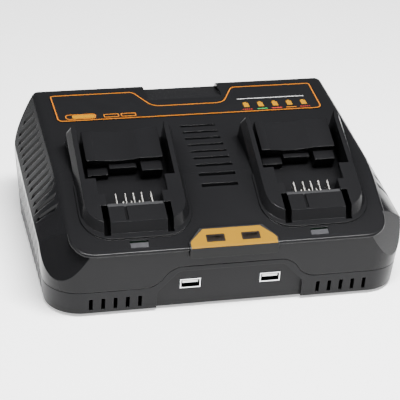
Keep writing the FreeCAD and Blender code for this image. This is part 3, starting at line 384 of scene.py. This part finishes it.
def grown(name, tree, values, material, height=None):
    # Runs a node tree on an empty mesh and keeps its result as a plain mesh.
    seed = bpy.data.objects.new(name + "_seed", bpy.data.meshes.new(name + "_seed"))
    bpy.context.scene.collection.objects.link(seed)
    maker = seed.modifiers.new("maker", "NODES")
    maker.node_group = tree
    for item in tree.interface.items_tree:
        if item.item_type == "SOCKET" and item.in_out == "INPUT" and item.name in values:
            maker[item.identifier] = values[item.name]
    seed.update_tag()
    bpy.context.view_layer.update()
    depsgraph = bpy.context.evaluated_depsgraph_get()
    shape = bpy.data.meshes.new_from_object(seed.evaluated_get(depsgraph))
    seed.modifiers.remove(maker)
    bpy.data.objects.remove(seed)
    if height is not None:
        for vertex in shape.vertices:
            vertex.co.z += height(vertex.co.y)
    return settle(name, shape, material)


def new_tree(name, inputs):
    tree = bpy.data.node_groups.new(name, "GeometryNodeTree")
    for label, kind in inputs:
        tree.interface.new_socket(name=label, in_out="INPUT", socket_type=kind)
    tree.interface.new_socket(name="Geometry", in_out="OUTPUT", socket_type="NodeSocketGeometry")
    return tree


def place_copies(tree, start, points, shape, ink):
    # The last steps of a tree: a copy at each point, made real and given its material.
    copies = tree.nodes.new("GeometryNodeInstanceOnPoints")
    real = tree.nodes.new("GeometryNodeRealizeInstances")
    inked = tree.nodes.new("GeometryNodeSetMaterial")
    end = tree.nodes.new("NodeGroupOutput")
    tree.links.new(points, copies.inputs["Points"])
    tree.links.new(shape, copies.inputs["Instance"])
    tree.links.new(copies.outputs["Instances"], real.inputs["Geometry"])
    tree.links.new(real.outputs["Geometry"], inked.inputs["Geometry"])
    tree.links.new(start.outputs[ink], inked.inputs["Material"])
    tree.links.new(inked.outputs["Geometry"], end.inputs["Geometry"])


def battery_row_tree():
    # A row of upright battery marks: a body with a small cap, repeated at one pitch.
    tree = new_tree("battery_row", [
        ("Count", "NodeSocketInt"), ("First", "NodeSocketVector"), ("Step", "NodeSocketVector"),
        ("Body", "NodeSocketVector"), ("Cap", "NodeSocketVector"), ("Cap Shift", "NodeSocketVector"),
        ("Ink", "NodeSocketMaterial")])
    nodes, links = tree.nodes, tree.links
    start = nodes.new("NodeGroupInput")
    body = nodes.new("GeometryNodeMeshCube")
    cap = nodes.new("GeometryNodeMeshCube")
    raised = nodes.new("GeometryNodeTransform")
    both = nodes.new("GeometryNodeJoinGeometry")
    row = nodes.new("GeometryNodeMeshLine")
    links.new(start.outputs["Body"], body.inputs["Size"])
    links.new(start.outputs["Cap"], cap.inputs["Size"])
    links.new(cap.outputs["Mesh"], raised.inputs["Geometry"])
    links.new(start.outputs["Cap Shift"], raised.inputs["Translation"])
    links.new(body.outputs["Mesh"], both.inputs["Geometry"])
    links.new(raised.outputs["Geometry"], both.inputs["Geometry"])
    links.new(start.outputs["Count"], row.inputs["Count"])
    links.new(start.outputs["First"], row.inputs["Start Location"])
    links.new(start.outputs["Step"], row.inputs["Offset"])
    place_copies(tree, start, row.outputs["Mesh"], both.outputs["Geometry"], "Ink")
    return tree


status_marks = grown(
    "status_marks", battery_row_tree(),
    {"Count": len(status_inks), "First": (status_first, 0.0515, ink_thick / 2),
     "Step": (status_pitch, 0.0, 0.0), "Body": (0.0042, 0.0062, ink_thick),
     "Cap": (0.0020, 0.0012, ink_thick), "Cap Shift": (0.0, 0.0037, 0.0), "Ink": yellow_ink},
    yellow_ink, film_height)


# Outlet badge.
# A thin moulded plate clipped over the front crease above the outlets. Its sloping top
# carries a yellow film with two outlet marks; its rim and the flap below stay dark.

badge_low, badge_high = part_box("port_badge")
front_slope = math.tan(math.radians(24.0))
badge_nose = 0.0010
badge_nose_slope = 0.75
badge_film_thick = 0.00012
film_seam = 0.00002
print_gap = 0.00001
badge_crease_y = badge_low.y + badge_nose
badge_crease_z = badge_high.z - (badge_high.y - badge_crease_y) * front_slope
badge_shoulder = 0.0040


def badge_top(y):
    past_crease = y - badge_crease_y
    return badge_crease_z + max(past_crease, 0.0) * front_slope + min(past_crease, 0.0) * badge_nose_slope


clad("port_badge", moulded_plastic("badge_plastic", (0.005, 0.005, 0.005), 0.40, grain=0.00001,
                                   edge=0.0004))
badge_yellow = satin_film("badge_film", (0.170, 0.085, 0.0), 0.50, 0.06)
rim = 0.0010
badge_half = badge_high.x - rim
badge_top_half = 0.0214 - rim
badge_point = 0.0001
shoulder_radius = 0.003
top_radius = 0.001
film_corners = [(-badge_half, badge_crease_y - film_seam), (badge_half, badge_crease_y - film_seam),
                (badge_half, badge_crease_y + badge_shoulder), (badge_top_half, badge_high.y - rim),
                (-badge_top_half, badge_high.y - rim), (-badge_half, badge_crease_y + badge_shoulder)]
film_radii = [badge_point, badge_point, shoulder_radius, top_radius, top_radius, shoulder_radius]
printed("badge_film_top", [rounded_path(film_corners, film_radii)],
        badge_top, badge_yellow, badge_film_thick)
printed("badge_film_nose", [[(-badge_half, badge_low.y + film_seam), (badge_half, badge_low.y + film_seam),
                             (badge_half, badge_crease_y), (-badge_half, badge_crease_y)]],
        badge_top, badge_yellow, badge_film_thick)

sepia_ink = screen_ink("sepia_ink", (0.010, 0.006, 0.003))


def over_badge(y):
    return badge_top(y) + badge_film_thick + print_gap


mark_y = badge_crease_y + 0.0058
mark_half_wide = 0.0066
mark_half_deep = 0.0029
mark_line_wide = 0.0009
tongue_half_wide = 0.0042
for label, mark_x in (("left", -0.0125), ("right", 0.0125)):
    port_mark = box_path(mark_x - mark_half_wide, mark_x + mark_half_wide,
                         mark_y - mark_half_deep, mark_y + mark_half_deep, 0.0008)
    tongue_mark = box_path(mark_x - tongue_half_wide, mark_x + tongue_half_wide,
                           mark_y + 0.0001, mark_y + 0.0011, 0.0003)
    printed("port_mark_" + label, [port_mark, inset_path(port_mark, mark_line_wide)], over_badge,
            sepia_ink)
    printed("port_mark_tongue_" + label, [tongue_mark], over_badge, sepia_ink)


# Outlets.
# Each is a can of bright plated sheet steel, pressed with a flared mouth and seated in
# the outlet panel. A white moulded tongue inside carries four gold-plated strips.

def plated_steel(name, colour, roughness, brush=(30.0, 900.0, 900.0), mouth=None):
    # A mouth is given as its centre and half sizes; the rolled lip gets a painted dark reflection and the
    # inside gets painted shade.
    finish = Finish(name)
    turned = finish.node("ShaderNodeMapping", None, {"Vector": finish.place(), "Scale": brush}, out="Vector")
    lines = finish.cloud(1.0, 2.0, turned)
    tone = finish.blend(lines * 0.5, colour, tuple(part * 0.82 for part in colour))
    if mouth is not None:
        # Painted dark reflection and shade: near-black inside the mouth and within the lip's width around
        # its edge.
        across = abs(abs(finish.along(0)) - mouth["centre_x"]) - mouth["half_width"]
        upward = abs(finish.along(2) - mouth["centre_z"]) - mouth["half_height"]
        clear_of_painted_shade = across.or_more(upward) > mouth["lip"]
        tone = finish.blend(clear_of_painted_shade, (0.010, 0.010, 0.011), tone)
    relief = finish.bump(lines, 0.00001, 0.3, 0.0003)
    return finish.surface(base_color=tone, roughness=roughness + (lines - 0.5) * 0.12, metallic=1.0,
                          normal=relief)


mouth_low, mouth_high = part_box("usb_shell_left")
outlet_mouth = {
    "centre_x": -(mouth_low.x + mouth_high.x) / 2, "centre_z": (mouth_low.z + mouth_high.z) / 2,
    "half_width": 0.00625, "half_height": 0.00255, "lip": 0.00035}
outlet_steel = plated_steel("outlet_steel", (0.80, 0.80, 0.82), 0.26, mouth=outlet_mouth)
tongue_white = moulded_plastic("outlet_insulator", (0.78, 0.78, 0.77), 0.40, grain=0.00001, edge=0.0002)
contact_gold = plated_steel("contact_plating", (0.90, 0.66, 0.28), 0.25)
for label in ("left", "right"):
    clad("usb_shell_" + label, outlet_steel)
    clad("usb_tongue_" + label, tongue_white)
    clad("usb_contacts_" + label, contact_gold)


# Battery terminals.
# Nickel-plated copper blades stand at the foot of each bay. They are pressed into a block
# of glass-filled plastic, which is moulded black like the cover.

terminal_plastic = moulded_plastic("terminal_plastic", (0.012, 0.012, 0.013), 0.55)
blade_nickel = plated_steel("blade_nickel", (0.74, 0.72, 0.68), 0.26, (900.0, 60.0, 900.0))
for label in ("left", "right"):
    clad("terminal_block_" + label, terminal_plastic)
    clad("terminal_blades_" + label, blade_nickel)


# Charge lamps.
# A smoked window under each bay lets the light of a small board shine through. Both
# windows are dark, as nothing is being charged.

def smoked_window(name):
    finish = Finish(name)
    haze = finish.cloud(260.0, 3.0)
    tone = finish.blend(haze * 0.8, (0.020, 0.020, 0.022), (0.030, 0.030, 0.033))
    relief = finish.bump(haze, 0.00002, 0.3, 0.0003)
    return finish.surface(base_color=tone, roughness=0.22 + (haze - 0.5) * 0.10, normal=relief,
                          coat_weight=0.15, coat_roughness=0.12)


window_smoke = smoked_window("lens_smoke")


def board_laminate(name):
    finish = Finish(name)
    weave = finish.cloud(420.0, 2.0)
    copper = finish.cloud(38.0, 0.0) > 0.54
    tone = finish.blend(copper * 0.5, (0.012, 0.085, 0.035), (0.030, 0.150, 0.060))
    relief = finish.bump(copper + weave * 0.2, 0.00003, 0.5)
    return finish.surface(base_color=tone, roughness=0.35 + (weave - 0.5) * 0.15, normal=relief)


laminate = board_laminate("board_laminate")
for label in ("left", "right"):
    clad("lamp_lens_" + label, window_smoke)
    clad("lamp_board_" + label, laminate)


# Feet, gland and case screws.
# Soft rubber pads are stuck under the corners and a rubber grommet lines the rear hole.
# Four zinc-plated screws with cross recesses hold the two mouldings together.

def soft_rubber(name, colour):
    finish = Finish(name)
    dust = finish.cloud(120.0, 4.0)
    tone = finish.blend(dust * 0.6, colour, tuple(part * 1.6 + 0.004 for part in colour))
    relief = finish.bump(finish.cloud(900.0, 2.0), 0.00004, 0.5, 0.0004)
    return finish.surface(base_color=tone, roughness=0.78 + (dust - 0.5) * 0.15, normal=relief)


clad("rubber_feet", soft_rubber("foot_rubber", (0.016, 0.016, 0.016)))
clad("cord_gland", soft_rubber("gland_rubber", (0.014, 0.014, 0.014)))
screw_zinc = plated_steel("screw_steel", (0.50, 0.50, 0.51), 0.34, (300.0, 300.0, 300.0))
clad("case_screws", screw_zinc)


def cross_recess_tree():
    # Two crossed thin dark bars, painted shade of a cross recess, repeated at each screw's place.
    tree = new_tree("cross_recess", [
        ("Spacing X", "NodeSocketFloat"), ("Spacing Y", "NodeSocketFloat"), ("Centre", "NodeSocketVector"),
        ("Slot", "NodeSocketVector"), ("Cross", "NodeSocketVector"), ("Shadow", "NodeSocketMaterial")])
    nodes, links = tree.nodes, tree.links
    start = nodes.new("NodeGroupInput")
    slot_bar = nodes.new("GeometryNodeMeshCube")
    cross_bar = nodes.new("GeometryNodeMeshCube")
    both = nodes.new("GeometryNodeJoinGeometry")
    places = nodes.new("GeometryNodeMeshGrid")
    places.inputs["Vertices X"].default_value = 2
    places.inputs["Vertices Y"].default_value = 2
    centred = nodes.new("GeometryNodeTransform")
    links.new(start.outputs["Slot"], slot_bar.inputs["Size"])
    links.new(start.outputs["Cross"], cross_bar.inputs["Size"])
    links.new(slot_bar.outputs["Mesh"], both.inputs["Geometry"])
    links.new(cross_bar.outputs["Mesh"], both.inputs["Geometry"])
    links.new(start.outputs["Spacing X"], places.inputs["Size X"])
    links.new(start.outputs["Spacing Y"], places.inputs["Size Y"])
    links.new(places.outputs["Mesh"], centred.inputs["Geometry"])
    links.new(start.outputs["Centre"], centred.inputs["Translation"])
    place_copies(tree, start, centred.outputs["Geometry"], both.outputs["Geometry"], "Shadow")
    return tree


screws_low, screws_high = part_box("case_screws")
screw_head = 0.0070
slot_long = 0.0040
slot_wide = 0.0009
slot_thick = 0.0002
# Painted shade: the cross recesses are thin near-black crosses laid on the screw heads.
cross_painted_shade = soft_rubber("recess_shadow", (0.010, 0.010, 0.010))
recess_shades = grown(
    "screw_recess_shades", cross_recess_tree(),
    {"Spacing X": screws_high.x - screws_low.x - screw_head,
     "Spacing Y": screws_high.y - screws_low.y - screw_head,
     "Centre": (0.0, (screws_high.y + screws_low.y) / 2, 0.0),
     "Slot": (slot_long, slot_wide, slot_thick), "Cross": (slot_wide, slot_long, slot_thick),
     "Shadow": cross_painted_shade},
    cross_painted_shade, lambda y: screws_low.z)


# Electronics under the deck.
# A green laminate board carries the mains filter, rectifier, transformer, finned heat
# sinks and capacitors. They show only as glints through the vents.

clad("main_board", laminate)
clad("usb_board", laminate)
sink_metal = plated_steel("sink_aluminium", (0.55, 0.55, 0.57), 0.38, (200.0, 200.0, 20.0))
clad("heatsink_left", sink_metal)
clad("heatsink_right", sink_metal)
grey_ferrite = soft_rubber("ferrite", (0.045, 0.045, 0.048))
clad("transformer_core", grey_ferrite)
clad("filter_choke", grey_ferrite)
clad("transformer_winding", satin_film("winding_tape", (0.62, 0.44, 0.06), 0.45))
sleeve = satin_film("capacitor_sleeve", (0.012, 0.016, 0.040), 0.30)
clad("bulk_capacitor", sleeve)
clad("output_capacitors", sleeve)
epoxy = moulded_plastic("chip_epoxy", (0.015, 0.015, 0.015), 0.50, grain=0.00001, edge=0.0003)
clad("power_transistors", epoxy)
clad("bridge_rectifier", epoxy)


def fuse_tube(name):
    finish = Finish(name)
    smear = finish.cloud(300.0, 2.0)
    tone = finish.blend(smear, (0.55, 0.58, 0.58), (0.70, 0.72, 0.72))
    return finish.surface(base_color=tone, roughness=0.12 + smear * 0.1, coat_weight=0.5)


clad("mains_fuse", fuse_tube("fuse_glass"))


# Finish of the table sheet.
# The sheet under the charger is matt white card with a faint mottle. It glows a little,
# as the photographer's sheet is lit by lamps of its own until it is nearly white.

card = Finish("table_card")
fibre = card.cloud(5.0, 3.0)
card_tone = card.blend(fibre, (0.86, 0.86, 0.86), (0.90, 0.90, 0.90))
table_sheet.materials.append(card.surface(base_color=card_tone, roughness=0.8, emission_color=card_tone,
                                          emission_strength=0.65))
